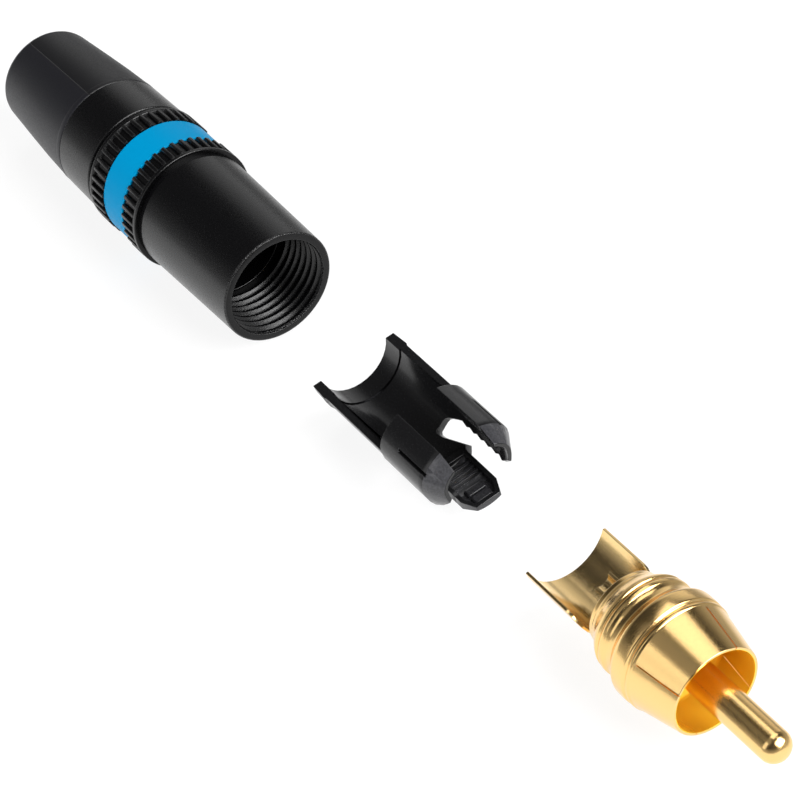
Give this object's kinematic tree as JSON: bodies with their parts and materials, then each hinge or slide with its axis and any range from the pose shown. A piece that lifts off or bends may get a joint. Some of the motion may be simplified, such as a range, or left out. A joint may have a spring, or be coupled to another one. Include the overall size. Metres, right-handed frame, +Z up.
{
  "type": "phono plug",
  "caption": "Cable-end phono plug taken apart in a row: knurled metal housing with boot and colour ring, moulded cable chuck, and gold contact insert.",
  "frame": {"origin": "under the middle of the row, on the plane that the knurled bands rest on", "axes": "+X along the common axis towards the tip of the centre pin, +Z up, out of the open side of the chuck"},
  "size_m": [0.1254, 0.0142, 0.0141],
  "materials": {
    "rolled_gold": "turned brass, gold plated and polished",
    "sheet_gold": "pressed brass sheet, gold plated",
    "insulator_black": "black moulded plastic",
    "pin_gold": "turned brass, gold plated and polished",
    "chuck_black": "black moulded plastic, satin",
    "ring_blue": "blue moulded plastic, satin",
    "shell_black": "satin black coating on turned metal",
    "boot_black": "matt black moulded elastomer"
  },
  "bodies": {
    "contact_insert": {"ground_shell": "rolled_gold", "ground_clamp": "sheet_gold", "insulator": "insulator_black", "centre_pin": "pin_gold"},
    "chuck": {"chuck": "chuck_black"},
    "colour_ring": {"colour_ring": "ring_blue"},
    "housing": {"shell": "shell_black", "boot": "boot_black"}
  },
  "joints": [
    {"name": "chuck_slide", "type": "slide", "parent": "contact_insert", "child": "chuck", "axis": [1, 0, 0], "range_m": [0, 0.01245]},
    {"name": "housing_slide", "type": "slide", "parent": "chuck", "child": "colour_ring", "axis": [1, 0, 0], "range_m": [0, 0.0485]},
    {"name": "housing_turn", "type": "hinge", "parent": "colour_ring", "child": "housing", "pos_m": [-0.036, 0, 0.00705], "axis": [1, 0, 0], "range_deg": [0, 1800]}
  ]
}
